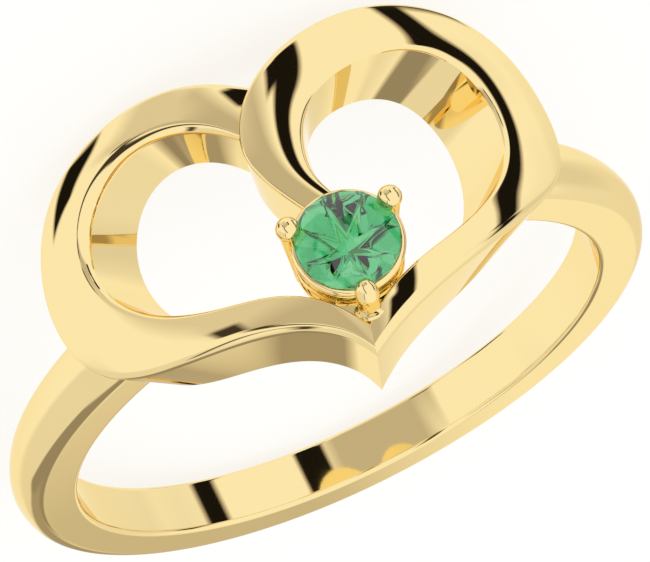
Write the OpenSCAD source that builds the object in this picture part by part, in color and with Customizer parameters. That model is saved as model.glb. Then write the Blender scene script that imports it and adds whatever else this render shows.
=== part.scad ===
// Promise ring: a polished gold band whose head is an open heart wrapped round the finger, with one
// green round stone held in a three-claw basket inside the heart.
// Lengths in mm. The ring is drawn with the finger along Y and the stone up Z, then laid on its side
// the way it comes to rest by itself: on the tops of both heart lobes and the back edge of the band.

/* [Finger hole] */
// Inside diameter of the ring, a ladies' size 7
finger_d = 17.3; // [15.2:0.1:20]

/* [Band] */
// Width of the band along the finger
band_w = 1.76; // [1.4:0.02:2.2]
// Thickness of the band at the back of the finger
band_t_back = 1.95; // [1.5:0.05:2.3]
// Thickness of the band at the sides of the finger
band_t_side = 1.75; // [1.4:0.05:2.1]
// Radius of the two outer corners of the band
band_corner = 0.6; // [0.4:0.05:0.65]
// Degrees that each corner turns before it runs into the crown
band_bend = 60; // [55:5:75]
// Easing of the two edges that touch the finger
band_ease = 0.14; // [0.08:0.02:0.2]
// How much the side under the lobes grows where the band runs into the heart
shoulder_flare = 0.3; // [0:0.05:0.4]

/* [Heart] */
// Height of the heart's top face over the finger, as a share of the drawn height
heart_rise = 1; // [0.95:0.01:1.1]
// Steps drawn between two rows of the ribbon tables
steps = 4; // [2:1:5]

/* [Stone] */
// Diameter of the stone at its girdle
stone_d = 2.88; // [2.7:0.02:2.92]
// Diameter of the flat table, as a share of the stone's diameter
table_share = 0.56; // [0.5:0.01:0.62]
// Crown height, as a share of the stone's diameter
crown_share = 0.15; // [0.12:0.01:0.17]
// Pavilion depth, as a share of the stone's diameter
pavilion_share = 0.42; // [0.38:0.01:0.43]
// Height of the girdle's middle over the finger
girdle_rise = 3.1; // [3.05:0.01:3.2]
// Gap left between the stone and the metal that holds it
seat_gap = 0.03; // [0.02:0.01:0.06]

/* [Setting] */
// Diameter of each rounded claw tip
claw_d = 0.68; // [0.6:0.02:0.72]
// Diameter of each claw's foot
claw_foot_d = 0.42; // [0.36:0.02:0.5]
// Thickness of the thin rail under the girdle
rail_t = 0.26; // [0.2:0.02:0.3]
// Thickness of the middle rail of the basket
middle_rail_t = 0.4; // [0.34:0.02:0.44]
// Thickness of the lower rail of the basket
base_rail_t = 0.5; // [0.4:0.02:0.52]
// Radius of the egg-shaped tip of the front claw
egg_r = 0.33; // [0.3:0.01:0.35]

/* [Hidden] */
bore_r = finger_d/2;
rim_r = bore_r + 2.25;          // radius on which the heart's outline is drawn
inside = 0.35;                  // metal drawn inside the finger hole, cut away by the bore
stone_x = 0.31;
stone_y = -1.46;
stone_z = bore_r + girdle_rise;
stone_turn = 4;                 // turn of the facets about the stone's own axis
// From stone up to lying on its side: turn about X, then roll about Y, then the move that puts the
// middle of the outer box over the origin and the lowest point on the floor
rest_turn = -75.88;
rest_roll = -1.35;
rest_move = [0, -0.775, 3.3];
gold = [0.93, 0.75, 0.42];
green = [0.2, 0.62, 0.36];

// The heart is two ribbons that both start at the point of the V. Places are measured flat, as arc
// round the finger (+ to the stone's right) and length along it, before being wrapped round it.
// out_a, out_y: outer edge; in_a, in_y: edge of the heart's opening; out_h, in_h: heights of both
// edges over the finger; dome: rise between them; out_r, in_r: width of the rounding of both edges;
// draft: how far the inner wall's foot stands out into the opening. The outer edge is a quarter
// round, the inner one turns break_turn degrees and then breaks into the wall.
break_turn = 55;
right_ribbon = [
//  out_a  out_y   in_a   in_y  out_h in_h  dome  out_r in_r  draft
  [-0.30, -4.60, -0.12, -3.76, 2.75, 2.75, 0.00, 0.28, 0.08, 0.00],
  [ 0.68, -3.98,  0.65, -3.05, 2.75, 2.75, 0.02, 0.28, 0.08, 0.00],
  [ 2.18, -3.35,  1.90, -2.50, 2.75, 2.75, 0.03, 0.28, 0.08, 0.00],
  [ 3.66, -2.82,  3.10, -2.10, 2.70, 2.65, 0.03, 0.28, 0.08, 0.00],
  [ 5.10, -2.25,  4.20, -1.60, 2.60, 2.60, 0.04, 0.26, 0.10, 0.00],
  [ 6.45, -1.65,  5.20, -0.90, 2.50, 2.45, 0.05, 0.22, 0.12, 0.00],
  [ 7.64, -0.92,  5.95, -0.05, 2.40, 2.40, 0.07, 0.16, 0.14, 0.05],
  [ 8.36,  0.29,  6.37,  0.94, 2.35, 2.35, 0.10, 0.12, 0.15, 0.05],
  [ 8.60,  1.94,  6.45,  1.96, 2.30, 2.30, 0.10, 0.10, 0.15, 0.05],
  [ 8.21,  3.48,  6.10,  3.00, 2.30, 2.30, 0.10, 0.10, 0.15, 0.08],
  [ 7.08,  4.70,  5.25,  3.70, 2.30, 2.38, 0.07, 0.12, 0.15, 0.08],
  [ 5.50,  5.38,  4.08,  3.90, 2.28, 2.48, 0.06, 0.12, 0.15, 0.05],
  [ 3.76,  5.58,  2.93,  3.83, 2.34, 2.44, 0.06, 0.12, 0.15, 0.05],
  [ 2.02,  5.33,  1.98,  3.57, 2.38, 2.46, 0.06, 0.12, 0.15, 0.05],
  [ 0.50,  4.72,  1.10,  3.05, 2.42, 2.46, 0.06, 0.12, 0.15, 0.10],
  [-0.66,  3.69,  0.60,  2.25, 2.50, 2.50, 0.06, 0.10, 0.15, 0.40],
  [-1.18,  2.40,  0.35,  1.35, 2.55, 2.55, 0.06, 0.10, 0.12, 0.80],
  [-0.90,  1.25,  0.40,  0.65, 2.55, 2.60, 0.05, 0.10, 0.10, 0.80],
  [-0.25,  0.02,  0.72, -0.12, 2.55, 2.65, 0.04, 0.08, 0.08, 0.35]];
left_ribbon = [
//  out_a  out_y   in_a   in_y  out_h in_h  dome  out_r in_r  draft
  [-0.30, -4.60, -0.12, -3.76, 2.75, 2.75, 0.00, 0.28, 0.08, 0.00],
  [-0.64, -3.84, -0.75, -2.62, 2.75, 2.75, 0.02, 0.28, 0.08, 0.00],
  [-1.66, -3.06, -1.85, -1.83, 2.75, 2.70, 0.03, 0.28, 0.08, 0.00],
  [-3.05, -2.56, -2.95, -1.50, 2.70, 2.60, 0.04, 0.28, 0.08, 0.00],
  [-4.54, -2.25, -4.10, -1.10, 2.60, 2.50, 0.06, 0.26, 0.10, 0.00],
  [-6.05, -1.88, -5.20, -0.45, 2.50, 2.40, 0.08, 0.22, 0.15, 0.00],
  [-7.42, -1.12, -6.00,  0.45, 2.40, 2.40, 0.10, 0.16, 0.20, 0.00],
  [-8.22,  0.20, -6.37,  1.48, 2.35, 2.40, 0.10, 0.14, 0.25, 0.05],
  [-8.39,  1.70, -6.20,  2.47, 2.30, 2.40, 0.10, 0.14, 0.40, 0.08],
  [-7.86,  3.20, -5.60,  3.27, 2.30, 2.45, 0.10, 0.14, 0.52, 0.08],
  [-6.74,  4.48, -4.75,  3.83, 2.26, 2.48, 0.10, 0.14, 0.60, 0.05],
  [-5.22,  5.18, -3.68,  4.12, 2.15, 2.62, 0.08, 0.14, 0.60, 0.05],
  [-3.50,  5.47, -2.55,  3.99, 2.22, 2.55, 0.07, 0.14, 0.55, 0.03],
  [-1.90,  5.28, -1.55,  3.48, 2.30, 2.45, 0.06, 0.14, 0.40, 0.00],
  [-0.61,  4.66, -0.80,  2.70, 2.30, 2.40, 0.06, 0.10, 0.18, 0.00],
  [ 0.34,  3.85, -0.30,  2.05, 2.30, 2.35, 0.05, 0.10, 0.12, 0.00]];

// The two upper claws: turn round the stone of the tip and of the foot, spread of the foot from the
// stone's middle and its height over the finger
claw_reach = 1.6;
claws = [
//  tip    foot  spread  foot_h
  [146.5,  172,  1.30,   1.50],
  [ 20.5,   16,  1.42,   0.90]];
// The basket's rails: radius, height over the finger, thickness
rails = [
//  r     h                  thick
  [1.43,  girdle_rise - 0.2, rail_t],
  [1.32,  2.45,              middle_rail_t],
  [1.25,  1.75,              base_rail_t]];
// The front claw: a foot with two collars under an egg, leaning towards the stone
front_turn = -96.5;
front_spread = 2.06;
front_h = 2.1;
front_lean = 25;
front_profile = [
//  along   r
  [-0.30,  0.50],
  [ 0.30,  0.49],
  [ 0.39,  0.43],
  [ 0.47,  0.47],
  [ 0.56,  0.45],
  [ 0.62,  0.30]];
egg_middle = 1.03;
egg_long = 0.47;
// The domed post that fills the inner corner of the V under the front claw
post_spread = 1.75;
post_r = 0.9;
post_foot = 1.2;
post_top = 2.6;
post_dome = 0.12;

// A row of a table, or the one mirrored past its end
function row(t, i) =
    let(n = len(t) - 1)
    i < 0 ? 2*t[0] - t[1] : i > n ? 2*t[n] - t[n-1] : t[i];

// Smooth curve through a table: a uniform cubic B-spline of its rows
function curve(t, u) =
    let(i = min(floor(u), len(t) - 2), f = u - i)
    ((1-f)*(1-f)*(1-f)*row(t, i-1) + (3*f*f*f - 6*f*f + 4)*row(t, i)
     + (-3*f*f*f + 3*f*f + 3*f + 1)*row(t, i+1) + f*f*f*row(t, i+2)) / 6;

// Drop of a rounded edge at distance x from it: the rounding is r wide, and its radius is full
function edge_drop(x, r, full) = x >= r ? 0 : full - sqrt(max(0, full*full - (r-x)*(r-x)));

// A flat place (arc, length) at height h over the finger, wrapped round the finger
function wrap(a, y, h) =
    let(turn = a/rim_r*180/PI, r = bore_r + h)
    [r*sin(turn), y, r*cos(turn)];

// Shares of the width at which a ribbon's section has points: close at its rounded edges
function shares(ro, ri) = concat(
    [for (k = [0:2]) ro*(1 - cos(45*k))],
    [for (k = [1:5]) ro + (1 - ro - ri)*k/6],
    [for (k = [3:-1:0]) 1 - ri*k/3]);

// Closed section of a ribbon at one place on its table: two feet and the top between them. deeper
// sinks the feet further inside the finger hole.
function ribbon_section(s, deeper) =
    let(w = norm([s[2] - s[0], s[3] - s[1]]),
        at = function(k, h) wrap(s[0] + (s[2] - s[0])*k, s[1] + (s[3] - s[1])*k, h))
    concat([at(0, -inside - deeper)],
        [for (k = shares(s[7]/w, s[8]/w))
            at(k, heart_rise*(s[4] + (s[5] - s[4])*k + 4*s[6]*k*(1-k))
                - edge_drop(k*w, s[7], s[7]) - edge_drop((1-k)*w, s[8], s[8]/sin(break_turn)))],
        [at(1 + s[9]/w, -inside - deeper)]);

// Growth of the lobes' side, and thickness of the band, at an angle from the back of the finger
function band_grow(turn) = pow(max(0, abs(turn) - 80)/62, 2);
function band_thick(turn) =
    band_t_side + (band_t_back - band_t_side)*pow(cos(turn), 2)*(abs(turn) < 90 ? 1 : 0.6);

// Closed section of the band: eased finger edges, flat sides, round corners and a crown that leaves
// them without a break. The easing starts just inside the finger hole, so that the bore cuts across
// its first face.
function band_section(turn) =
    let(w = band_w/2, t = band_thick(turn), e = band_ease, c = band_corner,
        crown_w = w - c + c*cos(band_bend), fall = crown_w/tan(band_bend)/2,
        foot = t - fall - c*sin(band_bend),
        half = concat(
            [[w - e, -inside], [w - e, -0.04]],
            [for (k = [1:3]) [w - e + e*sin(30*k), e - e*cos(30*k)]],
            [for (k = [0:4]) let(b = band_bend*k/4) [w - c + c*cos(b), foot + c*sin(b)]]),
        top = [for (k = [1:5]) let(y = crown_w*(1 - k/3)) [y, t - fall*pow(y/crown_w, 2)]],
        flat = concat(half, top, [for (k = [len(half)-1:-1:0]) [-half[k][0], half[k][1]]]))
    [for (p = flat)
        [(bore_r + p[1])*sin(turn),
         p[0] + (p[0] > 0 ? shoulder_flare*band_grow(turn)*p[0]/w : 0),
         -(bore_r + p[1])*cos(turn)]];

function middle(s) = [for (c = [0:2]) let(v = [for (p = s) p[c]]) (min(v) + max(v))/2];

// Solid between a row of closed sections, each end closed by a fan round its middle
module sweep(sections) {
    n = len(sections);
    m = len(sections[0]);
    polyhedron(
        points = concat([for (s = sections) each s], [middle(sections[0]), middle(sections[n-1])]),
        faces = concat(
            [for (j = [0:m-1]) [n*m, (j+1)%m, j]],
            [for (i = [0:n-2], j = [0:m-1])
                let(a = i*m + j, b = i*m + (j+1)%m)
                each [[a, b, a+m], [b, b+m, a+m]]],
            [for (j = [0:m-1]) [n*m + 1, (n-1)*m + j, (n-1)*m + (j+1)%m]]));
}

// One place on a ribbon with every face drawn in by g, so that one stretch can start inside another
function drawn_in(s, g) =
    let(w = norm([s[2] - s[0], s[3] - s[1]]), k = g/w, d = s[2] - s[0], e = s[3] - s[1])
    [s[0] + d*k, s[1] + e*k, s[2] - d*k, s[3] - e*k, s[4] - g, s[5] - g, s[6], s[7], s[8], s[9]];

// The heart in two stretches: the left lobe, the V and the right lobe's outside in one go, then the
// rest of the right lobe, over the left one and down to the stone. The second starts a hair's
// breadth inside the first, a little before its end.
split_row = 12;
start_gap = 0.025;
module heart() {
    nl = (len(left_ribbon) - 1)*steps;
    nr = (len(right_ribbon) - 1)*steps;
    ns = split_row*steps;
    sweep(concat(
        [for (i = [nl:-1:1]) ribbon_section(curve(left_ribbon, i/steps), 0)],
        [for (i = [0:ns]) ribbon_section(curve(right_ribbon, i/steps), 0)]));
    sweep([for (i = [0:nr-ns])
        let(u = ns - 0.6 + i*(nr - ns + 0.6)/(nr - ns),
            g = start_gap*max(0, min(1, (ns + 2 - u)/2)))
        ribbon_section(drawn_in(curve(right_ribbon, u/steps), g), start_gap)]);
}

module band() {
    sweep([for (i = [0:48]) band_section(-144 + 6*i)]);
}

// An upper claw: a tapered rod from its foot up to a rounded tip that folds over the girdle
module claw(tip_turn, foot_turn, spread, foot_h) {
    hull() {
        rotate([0, 0, foot_turn])
            translate([spread, 0, bore_r + foot_h])
                sphere(d = claw_foot_d, $fn = 12);
        rotate([0, 0, tip_turn])
            translate([claw_reach, 0, stone_z + 0.1])
                sphere(d = claw_d - 0.08, $fn = 12);
    }
    rotate([0, 0, tip_turn])
        translate([claw_reach, 0, stone_z + 0.18])
            sphere(d = claw_d, $fn = 16);
}

// The front claw: its profile and then an ellipse, turned round the leaning axis
module front_claw() {
    last = front_profile[len(front_profile)-1];
    low = asin((last[0] + 0.03 - egg_middle)/egg_long);
    egg = [for (k = [0:6]) let(e = low + (90 - low)*k/7)
        [max(egg_r*cos(e), e < 0 ? last[1] : 0), egg_middle + egg_long*sin(e)]];
    rotate([0, 0, front_turn])
        translate([front_spread, 0, bore_r + front_h])
            rotate([0, -front_lean, 0])
                rotate_extrude($fn = 20)
                    polygon(concat(
                        [[0, front_profile[0][0]]],
                        [for (p = front_profile) [p[1], p[0]]],
                        egg,
                        [[0, egg_middle + egg_long]]));
}

// The post in the V's corner, topped by a low dome
module post() {
    edge = post_top - post_dome;
    rotate([0, 0, front_turn])
        translate([post_spread, 0, bore_r])
            rotate_extrude($fn = 24)
                polygon(concat(
                    [[0, post_foot], [post_r, post_foot]],
                    [for (k = [0:5]) [post_r*cos(15*k), edge + post_dome*sin(15*k)]],
                    [[0, post_top]]));
}

// A round rail of the basket
module rail(r, h, t) {
    translate([0, 0, bore_r + h])
        rotate_extrude($fn = 36)
            translate([r, 0])
                circle(d = t, $fn = 8);
}

// The round brilliant: table, stars, kites, upper halves, girdle, lower halves and pavilion mains
function ringed(r, h, n, off) = [for (i = [0:n-1]) [r*cos(360*(i+off)/n), r*sin(360*(i+off)/n), h]];
module brilliant(grow) {
    r = stone_d/2 + grow;
    ht = stone_d*crown_share;
    hp = stone_d*pavilion_share;
    g = 0.04;
    rt = r*table_share;
    rk = r*0.79;
    hk = g + ht*(r - rk*cos(22.5))/(r - rt);
    rp = r*0.22;
    pts = concat(
        ringed(rt, g + ht + grow, 8, 0),
        ringed(rk, hk + grow, 8, 0.5),
        ringed(r, g + grow, 16, 0),
        ringed(r, -g - grow, 16, 0),
        ringed(rp, -g - hp*(r - rp*cos(22.5))/r - grow, 8, 0.5),
        [[0, 0, -g - hp - grow]]);
    polyhedron(pts, concat(
        [[for (i = [7:-1:0]) i]],
        [for (i = [0:7]) [i, (i+1)%8, 8+i]],
        [for (i = [0:7]) each [[i, 8+i, 16+2*i], [i, 16+2*i, 8+(i+7)%8]]],
        [for (i = [0:7]) each [[8+i, 17+2*i, 16+2*i], [8+i, 16+(2*i+2)%16, 17+2*i]]],
        [for (i = [0:15]) each [[16+i, 16+(i+1)%16, 32+i], [16+(i+1)%16, 32+(i+1)%16, 32+i]]],
        [for (i = [0:7]) each [[48+i, 32+2*i, 33+2*i], [48+i, 33+2*i, 32+(2*i+2)%16]]],
        [for (i = [0:7]) each [[32+2*i, 48+i, 56], [32+2*i, 56, 48+(i+7)%8]]]));
}

// Stone up, finger along Y, to lying on its side
module at_rest() {
    translate(rest_move)
        rotate([rest_turn, rest_roll, 0])
            children();
}

module at_stone(h) {
    translate([stone_x, stone_y, h])
        children();
}

// All the metal is cast and soldered into one body
module ring() {
    color(gold)
        at_rest()
            difference() {
                resize([0, 0, 0])
                    difference() {
                        union() {
                            band();
                            heart();
                            at_stone(0) {
                                for (c = claws) claw(c[0], c[1], c[2], c[3]);
                                for (r = rails) rail(r[0], r[1], r[2]);
                                front_claw();
                                post();
                            }
                        }
                        at_stone(stone_z)
                            rotate([0, 0, stone_turn])
                                brilliant(seat_gap);
                    }
                rotate([90, 0, 0])
                    cylinder(h = 20, r = bore_r, center = true, $fn = 180);
            }
}

module stone() {
    color(green)
        at_rest()
            at_stone(stone_z)
                rotate([0, 0, stone_turn])
                    brilliant(0);
}

ring();
stone();
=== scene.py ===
import math
import bpy
import mathutils
import numpy as np
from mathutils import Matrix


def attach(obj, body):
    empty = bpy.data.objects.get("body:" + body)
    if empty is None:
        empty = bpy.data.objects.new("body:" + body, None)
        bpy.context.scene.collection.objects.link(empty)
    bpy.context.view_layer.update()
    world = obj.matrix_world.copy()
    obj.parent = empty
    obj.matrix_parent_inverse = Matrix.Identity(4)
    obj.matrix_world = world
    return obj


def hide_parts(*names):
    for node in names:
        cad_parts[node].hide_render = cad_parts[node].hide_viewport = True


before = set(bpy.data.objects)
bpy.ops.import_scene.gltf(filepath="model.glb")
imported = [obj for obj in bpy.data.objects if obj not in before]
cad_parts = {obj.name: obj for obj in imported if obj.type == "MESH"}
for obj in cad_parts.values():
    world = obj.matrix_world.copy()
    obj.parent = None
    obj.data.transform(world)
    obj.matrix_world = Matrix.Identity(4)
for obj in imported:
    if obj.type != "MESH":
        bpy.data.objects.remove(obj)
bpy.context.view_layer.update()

# The band. One narrow bar of yellow gold is bent into a hoop: flat sides, two rounded outer
# corners and a low crown, with its finger edges eased. It is cast in one with the heart and
# polished to a mirror.

BORE = 8.65            # finger hole, radius in mm
BAND_W = 1.76          # along the finger
BAND_BACK = 1.95       # thickness at the back of the finger
BAND_SIDE = 1.75       # thickness at the sides
BAND_CORNER = 0.6
BAND_BEND = 60         # degrees that each corner turns before it runs into the crown
BAND_EASE = 0.14
SHOULDER = 0.3         # growth of the lobes' side at the heart
GROWTH_FROM = 80       # degrees from the back of the finger where that growth starts
GROWTH_OVER = 62       # degrees over which it reaches its full size
HEART_SHARE = 0.6      # of the extra thickness, on the half of the hoop towards the heart
BAND_END = 144         # degrees from the back of the finger, inside the heart
SHARP = math.radians(30)
REST_TURN = math.radians(-75.88)
REST_ROLL = math.radians(-1.35)
REST_MOVE = np.array([0.0, -0.775, 3.3])
GOLD = (0.98, 0.8, 0.41)
GOLD_WARM = (0.97, 0.78, 0.38)
GOLD_EDGE = (0.97, 0.89, 0.68)   # tint of its mirror at a glancing angle
GOLD_CLOUDS = 220.0              # clouds of warmer alloy, per metre
GOLD_GRAIN = 1500.0              # grain of the polish, per metre
RIPPLE = 0.02
RIPPLE_DEPTH = 0.00001


def to_rest(points):
    """Lays the ring on its side: a turn about X, a roll about Y, then a move; mm to metres."""
    ct, st = math.cos(REST_TURN), math.sin(REST_TURN)
    cr, sr = math.cos(REST_ROLL), math.sin(REST_ROLL)
    turn = np.array([[1, 0, 0], [0, ct, -st], [0, st, ct]])
    roll = np.array([[cr, 0, sr], [0, 1, 0], [-sr, 0, cr]])
    return (np.asarray(points) @ (roll @ turn).T + REST_MOVE) / 1000


def place(name, points, faces, smooth):
    """A new object from points in the ring's own place and lists of corners; edges that turn by
    more than 30 degrees stay sharp."""
    mesh = bpy.data.meshes.new(name)
    mesh.from_pydata(to_rest(points).tolist(), [], faces)
    mesh.polygons.foreach_set("use_smooth", np.full(len(faces), smooth))
    mesh.set_sharp_from_angle(angle=SHARP)
    mesh.update()
    obj = bpy.data.objects.new(name, mesh)
    bpy.context.scene.collection.objects.link(obj)
    return obj


def surface(name, rows, closed=False):
    """A mesh over a grid of points. Each row is a closed loop of points; consecutive rows are joined
    by quads, the last row to the first where closed, and open ends are shut by a fan round the
    middle of the end row. Faces are turned to point outwards by the sign of the mesh's volume."""
    n, m = rows.shape[:2]
    points = rows.reshape(-1, 3)
    i = np.arange(n if closed else n - 1)[:, None]
    j = np.arange(m)[None]
    a, b = i * m + j, i * m + (j + 1) % m
    c, d = ((i + 1) % n) * m + (j + 1) % m, ((i + 1) % n) * m + j
    quads = np.stack([a, b, c, d], -1).reshape(-1, 4)
    fans = np.zeros((0, 3), int)
    if not closed:
        points = np.vstack([points, rows[0].mean(0), rows[-1].mean(0)])
        k = np.arange(m)
        first = np.stack([np.full(m, n * m), (k + 1) % m, k], -1)
        last = np.stack([np.full(m, n * m + 1), (n - 1) * m + k, (n - 1) * m + (k + 1) % m], -1)
        fans = np.vstack([first, last])
    tris = np.vstack([quads[:, [0, 1, 2]], quads[:, [0, 2, 3]], fans])
    p, q, r = points[tris[:, 0]], points[tris[:, 1]], points[tris[:, 2]]
    if (p * np.cross(q, r)).sum() < 0:
        quads, fans = quads[:, ::-1], fans[:, ::-1]
    return place(name, points, quads.tolist() + fans.tolist(), True)


def band_rows(count=361):
    """Sections of the band, one for each turn round the finger. Each is a loop: eased finger edge,
    flat side, round corner, crown that falls with the square of the distance from the middle and
    leaves the corner without a break, and the same back down the other side."""
    turn = np.radians(np.linspace(-BAND_END, BAND_END, count))[:, None]
    grow = (np.maximum(0, np.abs(np.degrees(turn)) - GROWTH_FROM) / GROWTH_OVER) ** 2
    share = np.where(np.abs(turn) < math.pi / 2, 1.0, HEART_SHARE)
    thick = BAND_SIDE + (BAND_BACK - BAND_SIDE) * np.cos(turn) ** 2 * share
    w = BAND_W / 2
    e = np.radians(np.linspace(0, 90, 9))
    bend = math.radians(BAND_BEND)
    c = np.linspace(0, bend, 15)
    side = np.array([0.03, 0.3, 0.7, 0.97])
    crown_w = w - BAND_CORNER + BAND_CORNER * math.cos(bend)
    crown_y = np.linspace(crown_w, 0, 14)[1:]
    crown_fall = crown_w / math.tan(bend) / 2
    foot = thick - crown_fall - BAND_CORNER * math.sin(bend)
    half_y = np.concatenate([
        w - BAND_EASE + BAND_EASE * np.sin(e),
        np.full(len(side), w),
        w - BAND_CORNER + BAND_CORNER * np.cos(c),
        crown_y])
    half_h = np.concatenate([
        BAND_EASE - BAND_EASE * np.cos(e) + 0 * thick,
        BAND_EASE + (foot - BAND_EASE) * side,
        foot + BAND_CORNER * np.sin(c),
        thick - crown_fall * (crown_y / crown_w) ** 2], 1)
    bore_y = (w - BAND_EASE) * np.array([-0.97, -0.6, -0.2, 0.2, 0.6, 0.97])
    y = np.concatenate([half_y, -half_y[-2::-1], bore_y])
    h = np.concatenate([half_h, half_h[:, -2::-1], np.zeros((count, len(bore_y)))], 1)
    y = y + np.where(y > 0, SHOULDER * grow * y / w, 0)
    return np.stack([(BORE + h) * np.sin(turn), y, -(BORE + h) * np.cos(turn)], -1)


class Value:
    """A node's output that can be reckoned with: arithmetic on it adds Math nodes to its tree."""

    def __init__(self, socket):
        self.socket = socket

    def node(self, kind, settings, values, output=0):
        """A new node in the same tree: its settings first, then its inputs, each a number, a
        colour or another Value."""
        node = self.socket.id_data.nodes.new(kind)
        for name, value in settings.items():
            setattr(node, name, value)
        for name, value in values.items():
            if isinstance(value, Value):
                self.socket.id_data.links.new(value.socket, node.inputs[name])
            else:
                node.inputs[name].default_value = value
        return Value(node.outputs[output])

    def into(self, socket):
        self.socket.id_data.links.new(self.socket, socket)

    def math(self, operation, first, second):
        return self.node("ShaderNodeMath", {"operation": operation}, {0: first, 1: second})

    def __add__(self, other):
        return self.math("ADD", self, other)

    def __radd__(self, other):
        return self.math("ADD", other, self)

    def __sub__(self, other):
        return self.math("SUBTRACT", self, other)

    def __rsub__(self, other):
        return self.math("SUBTRACT", other, self)

    def __mul__(self, other):
        return self.math("MULTIPLY", self, other)

    def __rmul__(self, other):
        return self.math("MULTIPLY", other, self)

    def __truediv__(self, other):
        return self.math("DIVIDE", self, other)

    def __rtruediv__(self, other):
        return self.math("DIVIDE", other, self)


def polished_gold(name, rough):
    """Mirror-polished yellow gold. Slow clouds turn the alloy a little warmer, and a fine grain makes
    the polish rougher by up to half of rough and ripples it too little to be seen by itself."""
    material = bpy.data.materials.new(name)
    material.use_nodes = True
    tree = material.node_tree
    shader = tree.nodes["Principled BSDF"]
    spot = Value(tree.nodes.new("ShaderNodeTexCoord").outputs["Object"])
    slow = spot.node("ShaderNodeTexNoise", {}, {"Vector": spot, "Scale": GOLD_CLOUDS, "Detail": 2.0})
    fine = spot.node("ShaderNodeTexNoise", {}, {"Vector": spot, "Scale": GOLD_GRAIN, "Detail": 4.0})
    colour = spot.node(
        "ShaderNodeMix", {"data_type": "RGBA"},
        {"Factor": slow, 6: (*GOLD, 1.0), 7: (*GOLD_WARM, 1.0)}, 2)
    colour.into(shader.inputs["Base Color"])
    shader.inputs["Metallic"].default_value = 1.0
    shader.inputs["Specular Tint"].default_value = (*GOLD_EDGE, 1.0)
    (rough + rough * 0.5 * fine).into(shader.inputs["Roughness"])
    ripple = spot.node(
        "ShaderNodeBump", {}, {"Strength": RIPPLE, "Distance": RIPPLE_DEPTH, "Height": fine})
    ripple.into(shader.inputs["Normal"])
    return material


def finish_gold(obj, material):
    """Gives a piece its gold, and its place in the ring that it is a part of."""
    obj.data.materials.append(material)
    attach(obj, "root")
    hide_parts("ring")


band_gold = polished_gold("band_gold", rough=0.03)
band = surface("band", band_rows())
finish_gold(band, band_gold)

# The heart. Two ribbons of the same gold meet in a pointed V, run round the lobes and meet again
# at the cleft, where the right one passes over the left and tapers down to the stone. The heart
# is modelled flat, as arc round the finger and length along it, and wrapped with square walls.

RIM = BORE + 2.25      # radius on which the outline is drawn
BREAK = 55             # degrees that the opening's edge turns before it breaks into the wall
# in mm: arc and length of the outer edge and of the opening's edge, heights of both, rise between
# them, width of the rounding of both, and how far the opening's wall leans out at its foot:
# out_a, out_y, in_a, in_y, out_h, in_h, dome, out_r, in_r, draft
RIGHT_RIBBON = [
    [-0.30, -4.60, -0.12, -3.76, 2.75, 2.75, 0.00, 0.28, 0.08, 0.00],
    [0.68, -3.98, 0.65, -3.05, 2.75, 2.75, 0.02, 0.28, 0.08, 0.00],
    [2.18, -3.35, 1.90, -2.50, 2.75, 2.75, 0.03, 0.28, 0.08, 0.00],
    [3.66, -2.82, 3.10, -2.10, 2.70, 2.65, 0.03, 0.28, 0.08, 0.00],
    [5.10, -2.25, 4.20, -1.60, 2.60, 2.60, 0.04, 0.26, 0.10, 0.00],
    [6.45, -1.65, 5.20, -0.90, 2.50, 2.45, 0.05, 0.22, 0.12, 0.00],
    [7.64, -0.92, 5.95, -0.05, 2.40, 2.40, 0.07, 0.16, 0.14, 0.05],
    [8.36, 0.29, 6.37, 0.94, 2.35, 2.35, 0.10, 0.12, 0.15, 0.05],
    [8.60, 1.94, 6.45, 1.96, 2.30, 2.30, 0.10, 0.10, 0.15, 0.05],
    [8.21, 3.48, 6.10, 3.00, 2.30, 2.30, 0.10, 0.10, 0.15, 0.08],
    [7.08, 4.70, 5.25, 3.70, 2.30, 2.38, 0.07, 0.12, 0.15, 0.08],
    [5.50, 5.38, 4.08, 3.90, 2.28, 2.48, 0.06, 0.12, 0.15, 0.05],
    [3.76, 5.58, 2.93, 3.83, 2.34, 2.44, 0.06, 0.12, 0.15, 0.05],
    [2.02, 5.33, 1.98, 3.57, 2.38, 2.46, 0.06, 0.12, 0.15, 0.05],
    [0.50, 4.72, 1.10, 3.05, 2.42, 2.46, 0.06, 0.12, 0.15, 0.10],
    [-0.66, 3.69, 0.60, 2.25, 2.50, 2.50, 0.06, 0.10, 0.15, 0.40],
    [-1.18, 2.40, 0.35, 1.35, 2.55, 2.55, 0.06, 0.10, 0.12, 0.80],
    [-0.90, 1.25, 0.40, 0.65, 2.55, 2.60, 0.05, 0.10, 0.10, 0.80],
    [-0.25, 0.02, 0.72, -0.12, 2.55, 2.65, 0.04, 0.08, 0.08, 0.35]]
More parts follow.
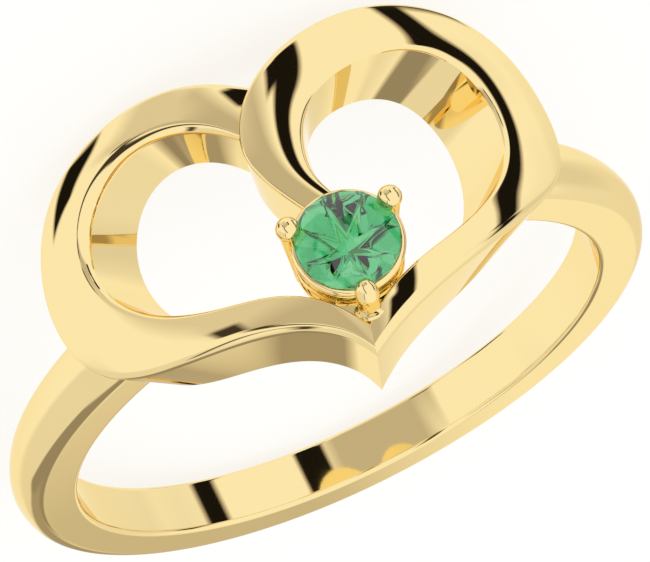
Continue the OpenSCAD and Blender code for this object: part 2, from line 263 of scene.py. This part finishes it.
LEFT_RIBBON = [
    [-0.30, -4.60, -0.12, -3.76, 2.75, 2.75, 0.00, 0.28, 0.08, 0.00],
    [-0.64, -3.84, -0.75, -2.62, 2.75, 2.75, 0.02, 0.28, 0.08, 0.00],
    [-1.66, -3.06, -1.85, -1.83, 2.75, 2.70, 0.03, 0.28, 0.08, 0.00],
    [-3.05, -2.56, -2.95, -1.50, 2.70, 2.60, 0.04, 0.28, 0.08, 0.00],
    [-4.54, -2.25, -4.10, -1.10, 2.60, 2.50, 0.06, 0.26, 0.10, 0.00],
    [-6.05, -1.88, -5.20, -0.45, 2.50, 2.40, 0.08, 0.22, 0.15, 0.00],
    [-7.42, -1.12, -6.00, 0.45, 2.40, 2.40, 0.10, 0.16, 0.20, 0.00],
    [-8.22, 0.20, -6.37, 1.48, 2.35, 2.40, 0.10, 0.14, 0.25, 0.05],
    [-8.39, 1.70, -6.20, 2.47, 2.30, 2.40, 0.10, 0.14, 0.40, 0.08],
    [-7.86, 3.20, -5.60, 3.27, 2.30, 2.45, 0.10, 0.14, 0.52, 0.08],
    [-6.74, 4.48, -4.75, 3.83, 2.26, 2.48, 0.10, 0.14, 0.60, 0.05],
    [-5.22, 5.18, -3.68, 4.12, 2.15, 2.62, 0.08, 0.14, 0.60, 0.05],
    [-3.50, 5.47, -2.55, 3.99, 2.22, 2.55, 0.07, 0.14, 0.55, 0.03],
    [-1.90, 5.28, -1.55, 3.48, 2.30, 2.45, 0.06, 0.14, 0.40, 0.00],
    [-0.61, 4.66, -0.80, 2.70, 2.30, 2.40, 0.06, 0.10, 0.18, 0.00],
    [0.34, 3.85, -0.30, 2.05, 2.30, 2.35, 0.05, 0.10, 0.12, 0.00]]


def curve(table, steps):
    """Smooth curve through a table's rows: a uniform cubic B-spline, with the rows next to both ends
    mirrored past them so that the curve starts and stops on the end rows."""
    t = np.array(table)
    t = np.vstack([2 * t[0] - t[1], t, 2 * t[-1] - t[-2]])
    u = np.linspace(0, len(table) - 1, (len(table) - 1) * steps + 1)
    i = np.minimum(u.astype(int), len(table) - 2)
    f = (u - i)[:, None]
    return ((1 - f) ** 3 * t[i] + (3 * f ** 3 - 6 * f ** 2 + 4) * t[i + 1]
            + (-3 * f ** 3 + 3 * f ** 2 + 3 * f + 1) * t[i + 2] + f ** 3 * t[i + 3]) / 6


def ribbon_rows(table, steps=14, rim=11, face=26):
    """Sections of a ribbon along its table. The top is a line between the heights of both edges plus
    a parabola for the dome, less a quarter round at the outer edge and part of one at the opening;
    walls drop square to the finger, the inner one leaning out by the draft; and the foot follows the
    finger hole."""
    out_a, out_y, in_a, in_y, out_h, in_h, dome, out_r, in_r, draft = curve(table, steps).T[:, :, None]
    w = np.hypot(in_a - out_a, in_y - out_y)
    bend = 1 - np.cos(np.linspace(0, math.pi / 2, rim))
    flat = np.linspace(0, 1, face)[1:-1]
    k = np.concatenate([
        out_r / w * bend,
        out_r / w + (1 - (out_r + in_r) / w) * flat,
        1 - in_r / w * np.linspace(1, 0, rim)], 1)
    near = np.clip(out_r - k * w, 0, None)
    far = np.clip(in_r - (1 - k) * w, 0, None)
    full = in_r / math.sin(math.radians(BREAK))
    drop = out_r - np.sqrt(out_r ** 2 - near ** 2) + full - np.sqrt(full ** 2 - far ** 2)
    top = out_h + (in_h - out_h) * k + 4 * dome * k * (1 - k) - drop
    wall = np.array([0.02, 0.12, 0.4, 0.7, 0.95, 0.99])
    under = np.array([0.98, 0.7, 0.3, 0.02])
    lean = draft / w
    k = np.concatenate([0 * w, 0 * w + 0 * wall, k, 1 + lean * wall, 1 + lean, (1 + lean) * under], 1)
    h = np.concatenate([
        0 * w,
        top[:, :1] * (1 - wall[::-1]),
        top,
        top[:, -1:] * (1 - wall),
        0 * w,
        0 * w + 0 * under], 1)
    turn = (out_a + (in_a - out_a) * k) / RIM
    y = out_y + (in_y - out_y) * k
    return np.stack([(BORE + h) * np.sin(turn), y, (BORE + h) * np.cos(turn)], -1)


heart_gold = polished_gold("heart_gold", rough=0.025)
heart_right = surface("heart_right", ribbon_rows(RIGHT_RIBBON))
finish_gold(heart_right, heart_gold)
heart_left = surface("heart_left", ribbon_rows(LEFT_RIBBON))
finish_gold(heart_left, heart_gold)

# The setting. Two tapered gold wires and a collared foot end in rounded claws over the stone's
# edge, a thin rail lies under it with two heavier ones below, and a domed post fills the inner
# corner of the V. All are soldered to each other and to the heart.

STONE = np.array([0.31, -1.46])
GIRDLE = 3.1           # over the finger
CLAW_REACH = 1.6       # from the stone's middle to the middle of each tip
CLAW_RISE = 0.18       # of the tip's middle over the girdle
CLAW_D = 0.68
CLAW_FOOT_D = 0.42
CLAW_STEP = 0.04       # by which the wire is thinner than the tip's ball, on its radius
CLAW_NECK = 0.75       # of the ball's radius, from its middle down to where the wire takes over
POLE = math.pi / 2 - 0.03    # angle at which a round end stops, a hair before its pole
OVERLAP = 0.02         # by which one stretch of a turned shape clears the next
# turn round the stone in degrees of the tip and of the foot, spread and height of the foot
CLAWS = {"claw_left": (146.5, 172, 1.3, 1.5), "claw_right": (20.5, 16, 1.42, 0.9)}
# radius of each rail, its height over the finger and its thickness
RAILS = {
    "rail_upper": (1.43, 2.9, 0.26),
    "rail_middle": (1.32, 2.45, 0.4),
    "rail_lower": (1.25, 1.75, 0.5)}
FRONT_TURN = -96.5
FRONT_FOOT = (2.06, 2.1)     # spread and height of its foot
FRONT_LEAN = 25              # degrees towards the stone
# the front claw's profile up its axis: distance from the foot, radius
FRONT_PROFILE = [
    (0, 0.5),
    (0.3, 0.49),
    (0.36, 0.43),
    (0.41, 0.43),
    (0.47, 0.47),
    (0.56, 0.45),
    (0.62, 0.3)]
EGG_MIDDLE = 1.03
EGG_LONG = 0.47
EGG_R = 0.33
POST_SPREAD = 1.75
POST_R = 0.9
POST_FOOT = 1.2
POST_TOP = 2.6
POST_DOME = 0.12


def lathe(foot, tip, radius, along, count=40):
    """A turned shape on the line from foot to tip: at each distance along the line a circle of the
    given radius round it."""
    axis = (tip - foot) / np.linalg.norm(tip - foot)
    side = np.cross(axis, [0.0, 1.0, 0.3])
    side /= np.linalg.norm(side)
    other = np.cross(axis, side)
    t = np.linspace(0, 2 * math.pi, count, endpoint=False)
    circle = side * np.cos(t)[:, None] + other * np.sin(t)[:, None]
    return foot + axis * along[:, None, None] + circle[None] * radius[:, None, None]


def beside_stone(turn):
    """The finger's surface under the stone, and the way out from it at a turn round the stone."""
    t = math.radians(turn)
    return np.array([STONE[0], STONE[1], BORE]), np.array([math.cos(t), math.sin(t), 0.0])


def claw_rows(turn, foot_turn, spread, foot_h):
    """A claw: a straight taper from its foot, meeting a ball whose radius over the wire's end follows
    the circle formula, so that the tip is round."""
    base, out = beside_stone(turn)
    foot = base + beside_stone(foot_turn)[1] * spread + [0, 0, foot_h]
    tip = base + out * CLAW_REACH + [0, 0, GIRDLE + CLAW_RISE]
    length = np.linalg.norm(tip - foot)
    r = CLAW_D / 2
    neck = length - r * CLAW_NECK
    cap = length + r * np.sin(np.linspace(math.asin(-CLAW_NECK), POLE, 24))[1:]
    along = np.concatenate([np.linspace(0, neck, 24), cap])
    wire = CLAW_FOOT_D / 2 + (r - CLAW_STEP - CLAW_FOOT_D / 2) * np.clip(along / length, 0, 1)
    ball = np.sqrt(np.clip(r * r - (along - length) ** 2, 0, None))
    tip_r = np.where(along > length, ball, np.maximum(ball, wire))
    return lathe(foot, tip, np.where(along > neck, tip_r, wire), along)


def rail_rows(radius, height, thick):
    """A wire ring round the stone's axis: a small circle carried round a large one."""
    u = np.linspace(0, 2 * math.pi, 120, endpoint=False)[:, None]
    v = np.linspace(0, 2 * math.pi, 20, endpoint=False)[None]
    r = radius + thick / 2 * np.cos(v)
    z = BORE + height + thick / 2 * np.sin(v) + 0 * u
    return np.stack([STONE[0] + r * np.cos(u), STONE[1] + r * np.sin(u), z], -1)


def front_claw_rows():
    """The front claw: a foot with two collars, eased between the profile's rows by half a cosine
    wave, under an egg whose radius follows an ellipse."""
    base, out = beside_stone(FRONT_TURN)
    lean = math.radians(FRONT_LEAN)
    foot = base + out * FRONT_FOOT[0] + [0, 0, FRONT_FOOT[1]]
    tip = foot - out * math.sin(lean) + [0, 0, math.cos(lean)]
    places, radii = np.array(FRONT_PROFILE).T
    low = np.linspace(places[0], places[-1], 40)
    passed = np.clip((low[:, None] - places[:-1]) / np.diff(places), 0, 1)
    low_r = radii[0] + (np.diff(radii) * (1 - np.cos(math.pi * passed)) / 2).sum(1)
    e = np.linspace(math.asin((places[-1] + OVERLAP - EGG_MIDDLE) / EGG_LONG), POLE, 40)
    egg_r = np.maximum(EGG_R * np.cos(e), np.where(e < 0, radii[-1], 0))
    egg = EGG_MIDDLE + EGG_LONG * np.sin(e)
    return lathe(foot, tip, np.concatenate([low_r, egg_r]), np.concatenate([low, egg]))


def post_rows():
    """The post in the V's corner: a round bar whose top is a low dome."""
    base, out = beside_stone(FRONT_TURN)
    foot = base + out * POST_SPREAD
    e = np.linspace(0, POLE, 24)
    bar = np.linspace(POST_FOOT, POST_TOP - POST_DOME - OVERLAP, 6)
    along = np.concatenate([bar, POST_TOP - POST_DOME * (1 - np.sin(e))])
    radius = np.concatenate([np.full(len(bar), POST_R), POST_R * np.cos(e)])
    return lathe(foot, foot + [0, 0, 1.0], radius, along)


wire_gold = polished_gold("wire_gold", rough=0.04)
for claw_name, claw_place in CLAWS.items():
    finish_gold(surface(claw_name, claw_rows(*claw_place)), wire_gold)
claw_front = surface("claw_front", front_claw_rows())
finish_gold(claw_front, wire_gold)
for rail_name, rail_size in RAILS.items():
    finish_gold(surface(rail_name, rail_rows(*rail_size), closed=True), wire_gold)
post = surface("post", post_rows())
finish_gold(post, wire_gold)

# The stone. One small round brilliant of clear green stone, cut with a table, eight stars, eight
# kites, a faceted girdle and a pavilion that ends in a point. It sits on the thin rail, held by
# the claws.

STONE_D = 2.88
TABLE = 0.56           # width of the table, as a share of the stone's
CROWN = 0.15           # crown's height and pavilion's depth, as shares of the stone's width
PAVILION = 0.42
KITES = 0.79           # where the kites meet the stars, as a share of the stone's radius
LOWER_HALVES = 0.22    # where the lower halves end, as a share of it
GIRDLE_HALF = 0.04     # half the girdle's thickness
STONE_TURN = 4         # degrees
GREEN = (0.15, 0.62, 0.27)
GREEN_DEEP = (0.01, 0.4, 0.1)
GREEN_ZONES = 1600.0   # per metre
STONE_IOR = 1.9


def brilliant(name):
    """The cut's corners lie on circles: table, where the kites meet the stars, both edges of the
    girdle, and where the lower halves end; their heights follow from the flat main facets."""
    r, ht, hp, g = STONE_D / 2, STONE_D * CROWN, STONE_D * PAVILION, GIRDLE_HALF
    rt, rk, rp = r * TABLE, r * KITES, r * LOWER_HALVES
    lean = math.cos(math.radians(22.5))

    def circle(radius, height, n, off):
        t = 2 * math.pi * (np.arange(n) + off) / n + math.radians(STONE_TURN)
        return np.stack([radius * np.cos(t), radius * np.sin(t), np.full(n, height)], -1)

    points = np.vstack([
        circle(rt, g + ht, 8, 0),
        circle(rk, g + ht * (r - rk * lean) / (r - rt), 8, 0.5),
        circle(r, g, 16, 0),
        circle(r, -g, 16, 0),
        circle(rp, -g - hp * (r - rp * lean) / r, 8, 0.5),
        [[0, 0, -g - hp]]])
    faces = [list(range(8))]
    for i in range(8):
        a, b, c = 16 + 2 * i, 17 + 2 * i, 16 + (2 * i + 2) % 16
        faces += [[i, 8 + i, (i + 1) % 8], [i, 8 + (i + 7) % 8, a, 8 + i]]
        faces += [[8 + i, a, b], [8 + i, b, c]]
        faces += [[a, a + 16, b + 16, b], [b, b + 16, c + 16, c]]
        faces += [[a + 16, 48 + i, b + 16], [b + 16, 48 + i, c + 16]]
        faces += [[a + 16, 48 + (i + 7) % 8, 56, 48 + i]]
    return place(name, points + [STONE[0], STONE[1], BORE + GIRDLE], faces, False)


def green_stone(name):
    """Clear green stone: light passes through and bends, and zones of growth inside make it deeper
    here and there."""
    material = bpy.data.materials.new(name)
    material.use_nodes = True
    tree = material.node_tree
    shader = tree.nodes["Principled BSDF"]
    spot = Value(tree.nodes.new("ShaderNodeTexCoord").outputs["Object"])
    cloud = spot.node("ShaderNodeTexVoronoi", {}, {"Vector": spot, "Scale": GREEN_ZONES}, "Color")
    colour = spot.node(
        "ShaderNodeMix", {"data_type": "RGBA"},
        {"Factor": 2.0 * cloud - 0.5, 6: (*GREEN, 1.0), 7: (*GREEN_DEEP, 1.0)}, 2)
    colour.into(shader.inputs["Base Color"])
    shader.inputs["Transmission Weight"].default_value = 1.0
    shader.inputs["IOR"].default_value = STONE_IOR
    shader.inputs["Roughness"].default_value = 0.0
    return material


gem = brilliant("gem")
gem.data.materials.append(green_stone("green_stone"))
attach(gem, "root")
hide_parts("stone")

# The studio. A white room with soft grey and black cards, given by direction, and a pale floor
# under the ring that isn't seen in the metal.

# azimuth from the front, elevation, lean, width and height as seen from the ring, soft edge, level
CARDS = [
    (-60, 15, 0, 90, 70, 14, 0.84),
    (45, 0, 0, 80, 60, 14, 0.88),
    (85, 3, 0, 50, 36, 20, 0.78),
    (-168, -12, 15, 40, 40, 8, 0.56),
    (-158, -34, 15, 36, 36, 12, 0.74),
    (-20, 20, 0, 38, 36, 5, 0.32),
    (-9, -9, 38, 18, 44, 5, 0.4),
    (3, -12, 0, 10, 40, 5, 0.62),
    (15, -6, 0, 14, 34, 4, 1.0),
    (-110, -47, 0, 15, 30, 3, 0.01),
    (-143, 34, -8, 8, 56, 3, 0.05),
    (-147.5, -14.5, 0, 9, 11, 3, 0.05),
    (-150.5, 3, 0, 8, 11, 3, 0.05),
    (-92, 46.3, 5, 38, 4.5, 3, 0.08),
    (115, -20, 0, 10, 36, 3, 0.01),
    (98, 10, 42, 11, 38, 5, 0.01),
    (101, -38, 0, 30, 4, 3, 0.03),
    (161, -14, 0, 9, 30, 2, 0.01),
    (164, -5, 0, 9, 13, 2, 0.01),
    (163.5, -23, 0, 11, 9, 2, 0.01)]

BESIDE = 0.001         # cosine under which a direction is beside or behind a card
WARM_GREEN = 0.14      # the darker a card, the warmer its grey: loss of green and of blue at black
WARM_BLUE = 0.24
FLOOR_SIZE = 2.0
FLOOR_DROP = 0.00002
FLOOR_PALE = (0.3, 0.29, 0.27)
FLOOR_GLOW = 0.76

world = bpy.data.worlds.new("studio")
world.use_nodes = True
world_tree = world.node_tree
bpy.context.scene.world = world
look = Value(world_tree.nodes.new("ShaderNodeTexCoord").outputs["Generated"])


def facing(vector):
    """The cosine of the angle between the direction looked in and a vector of length one."""
    operation = {"operation": "DOT_PRODUCT"}
    return look.node("ShaderNodeVectorMath", operation, {0: look, 1: vector}, "Value")


def share(ahead, axis, half, soft):
    """How far a direction lies on a flat card along one of its axes: the tangent of the angle from
    the card's middle against its half width, with a soft edge."""
    offset = look.math("ABSOLUTE", facing(axis) / ahead, 0.0)
    edge = (math.tan(half) - offset) / math.tan(soft) + 0.5
    return look.math("MINIMUM", look.math("MAXIMUM", edge, 0.0), 1.0)


def card(level, azimuth, elevation, lean, width, height, soft, card_level):
    """The room's light with one more card in it: where the card is, its own level."""
    a, e, t = math.radians(azimuth), math.radians(elevation), math.radians(lean)
    centre = (math.sin(a) * math.cos(e), -math.cos(a) * math.cos(e), math.sin(e))
    right = np.array([math.cos(a), math.sin(a), 0.0])
    up = np.array([-math.sin(a) * math.sin(e), math.cos(a) * math.sin(e), math.cos(e)])
    wide = math.cos(t) * right + math.sin(t) * up
    high = math.cos(t) * up - math.sin(t) * right
    middle = facing(centre)
    ahead = look.math("MAXIMUM", middle, BESIDE)
    across = share(ahead, wide.tolist(), math.radians(width / 2), math.radians(soft))
    along = share(ahead, high.tolist(), math.radians(height / 2), math.radians(soft))
    here = across * along * look.math("GREATER_THAN", middle, BESIDE)
    return level + here * (card_level - level)


light = 1.0
for card_place in CARDS:
    light = card(light, *card_place)
warm = light.node("ShaderNodeCombineColor", {}, {
    "Red": light,
    "Green": light * (1 - WARM_GREEN + WARM_GREEN * light),
    "Blue": light * (1 - WARM_BLUE + WARM_BLUE * light)})
warm.into(world_tree.nodes["Background"].inputs["Color"])

bpy.ops.mesh.primitive_plane_add(size=FLOOR_SIZE, location=(0.0, 0.0, -FLOOR_DROP))
floor = bpy.context.object
floor.name = "floor"
floor.visible_glossy = False
pale = bpy.data.materials.new("pale_floor")
pale.use_nodes = True
pale_shader = pale.node_tree.nodes["Principled BSDF"]
pale_shader.inputs["Base Color"].default_value = (*FLOOR_PALE, 1.0)
pale_shader.inputs["Roughness"].default_value = 1.0
pale_shader.inputs["Specular IOR Level"].default_value = 0.0
pale_shader.inputs["Emission Color"].default_value = (1.0, 1.0, 1.0, 1.0)
pale_shader.inputs["Emission Strength"].default_value = FLOOR_GLOW
floor.data.materials.append(pale)

# The camera. It stands on the heart's side of the ring, 36 degrees above the floor, and looks down
# at it through a long lens, from where the ring as it lies looks as it does in the photograph.

# given round the ring while it stands up: angle round it, height over the horizon and roll, then
# its distance and its slide sideways and up in mm
CAMERA_TURN = math.radians(-19.2)
CAMERA_RISE = math.radians(66.7)
CAMERA_ROLL = math.radians(-6.0)
CAMERA_AWAY = 90.0
CAMERA_SLIDE = (-0.194, 2.440)
CAMERA_LENS = 164.4
CAMERA_SENSOR = 36

toward = np.array([
    math.sin(CAMERA_TURN) * math.cos(CAMERA_RISE),
    -math.cos(CAMERA_TURN) * math.cos(CAMERA_RISE),
    math.sin(CAMERA_RISE)])
level_right = np.array([math.cos(CAMERA_TURN), math.sin(CAMERA_TURN), 0.0])
level_up = np.cross(toward, level_right)
camera_right = math.cos(CAMERA_ROLL) * level_right + math.sin(CAMERA_ROLL) * level_up
camera_up = math.cos(CAMERA_ROLL) * level_up - math.sin(CAMERA_ROLL) * level_right
stand = toward * CAMERA_AWAY + camera_right * CAMERA_SLIDE[0] + camera_up * CAMERA_SLIDE[1]
corners = to_rest([stand, stand + camera_right, stand + camera_up, stand + toward])
turned = np.eye(4)
turned[:3, :3] = (corners[1:] - corners[0]).T * 1000
turned[:3, 3] = corners[0]

camera_data = bpy.data.cameras.new("camera")
camera_data.sensor_fit = "HORIZONTAL"
camera_data.sensor_width = CAMERA_SENSOR
camera_data.lens = CAMERA_LENS
camera_data.clip_start = 0.005
camera_data.clip_end = 10
camera_data.dof.use_dof = False
camera = bpy.data.objects.new("camera", camera_data)
camera.matrix_world = mathutils.Matrix(turned.tolist())
bpy.context.scene.collection.objects.link(camera)
bpy.context.scene.camera = camera
bpy.context.scene.view_settings.view_transform = "Standard"
